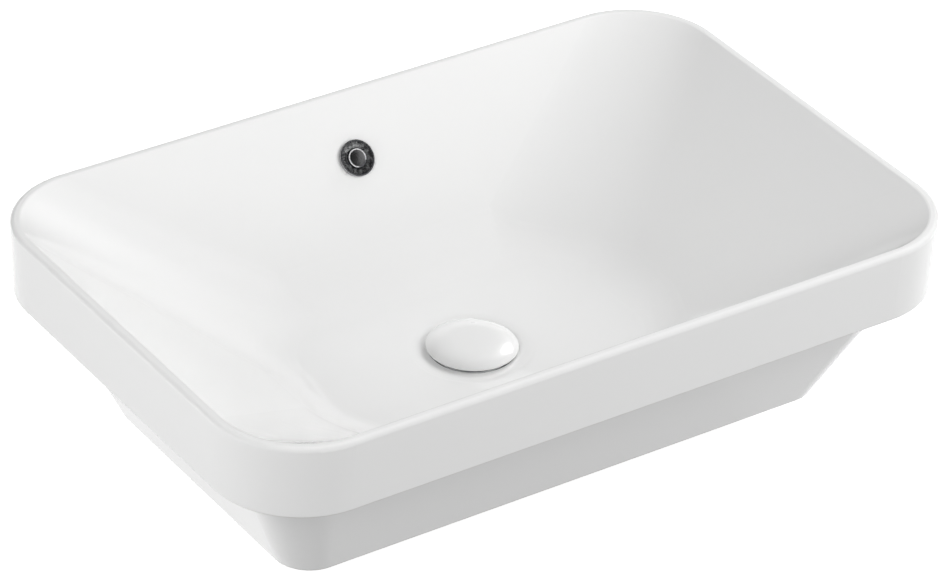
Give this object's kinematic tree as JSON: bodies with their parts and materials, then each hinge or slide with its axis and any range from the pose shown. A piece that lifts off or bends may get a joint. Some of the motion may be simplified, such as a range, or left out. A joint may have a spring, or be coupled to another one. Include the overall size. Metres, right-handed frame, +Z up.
{
  "type": "countertop basin",
  "caption": "Rectangular countertop wash basin with a tall rim band, a tapered lower body, an overflow ring and a plug that lifts over its waste.",
  "frame": {"origin": "middle of the shelf under the rim band, level with the top of the counter", "axes": "+Z up, +Y towards the wall and the overflow, +X along the long side"},
  "size_m": [0.5998, 0.3948, 0.1965],
  "materials": {
    "china": "gloss",
    "cap_china": "gloss",
    "ring_chrome": "polished",
    "waste_chrome": "polished",
    "nut_brass": "satin",
    "rubber": "matt",
    "hard_plastic": "matt",
    "plate_steel": "brushed",
    "cartridge_brass": "satin",
    "spring_steel": "bright"
  },
  "bodies": {
    "basin": {"basin_body": "china", "overflow_ring": "ring_chrome", "overflow_grommet": "rubber", "waste_body": "waste_chrome", "flange_gasket": "rubber", "boss_gasket": "rubber", "friction_washer": "hard_plastic", "back_nut": "nut_brass", "cartridge_housing": "cartridge_brass", "rod_seal": "rubber", "index_circlip": "spring_steel", "cartridge_end_plug": "cartridge_brass", "cartridge_spring": "spring_steel"},
    "plug": {"plug_cap": "cap_china", "cap_plate": "plate_steel", "plug_seal": "rubber", "plug_stem": "plate_steel", "stem_locknut": "plate_steel", "plunger": "cartridge_brass"},
    "index": {"index_ring": "hard_plastic", "index_pins": "plate_steel"}
  },
  "joints": [
    {"name": "plug_lift", "type": "slide", "parent": "basin", "child": "plug", "axis": [0, 0, 1], "range_m": [0, 0.008], "deforming": ["cartridge_spring"]},
    {"name": "index_turn", "type": "hinge", "parent": "basin", "child": "index", "pos_m": [0, 0, -0.0827], "axis": [0, 0, 1], "range_deg": [0, 45]}
  ],
  "couplings": [
    {"joint": "index_turn", "follows": "plug_lift", "rad_per_m": 98.17}
  ]
}
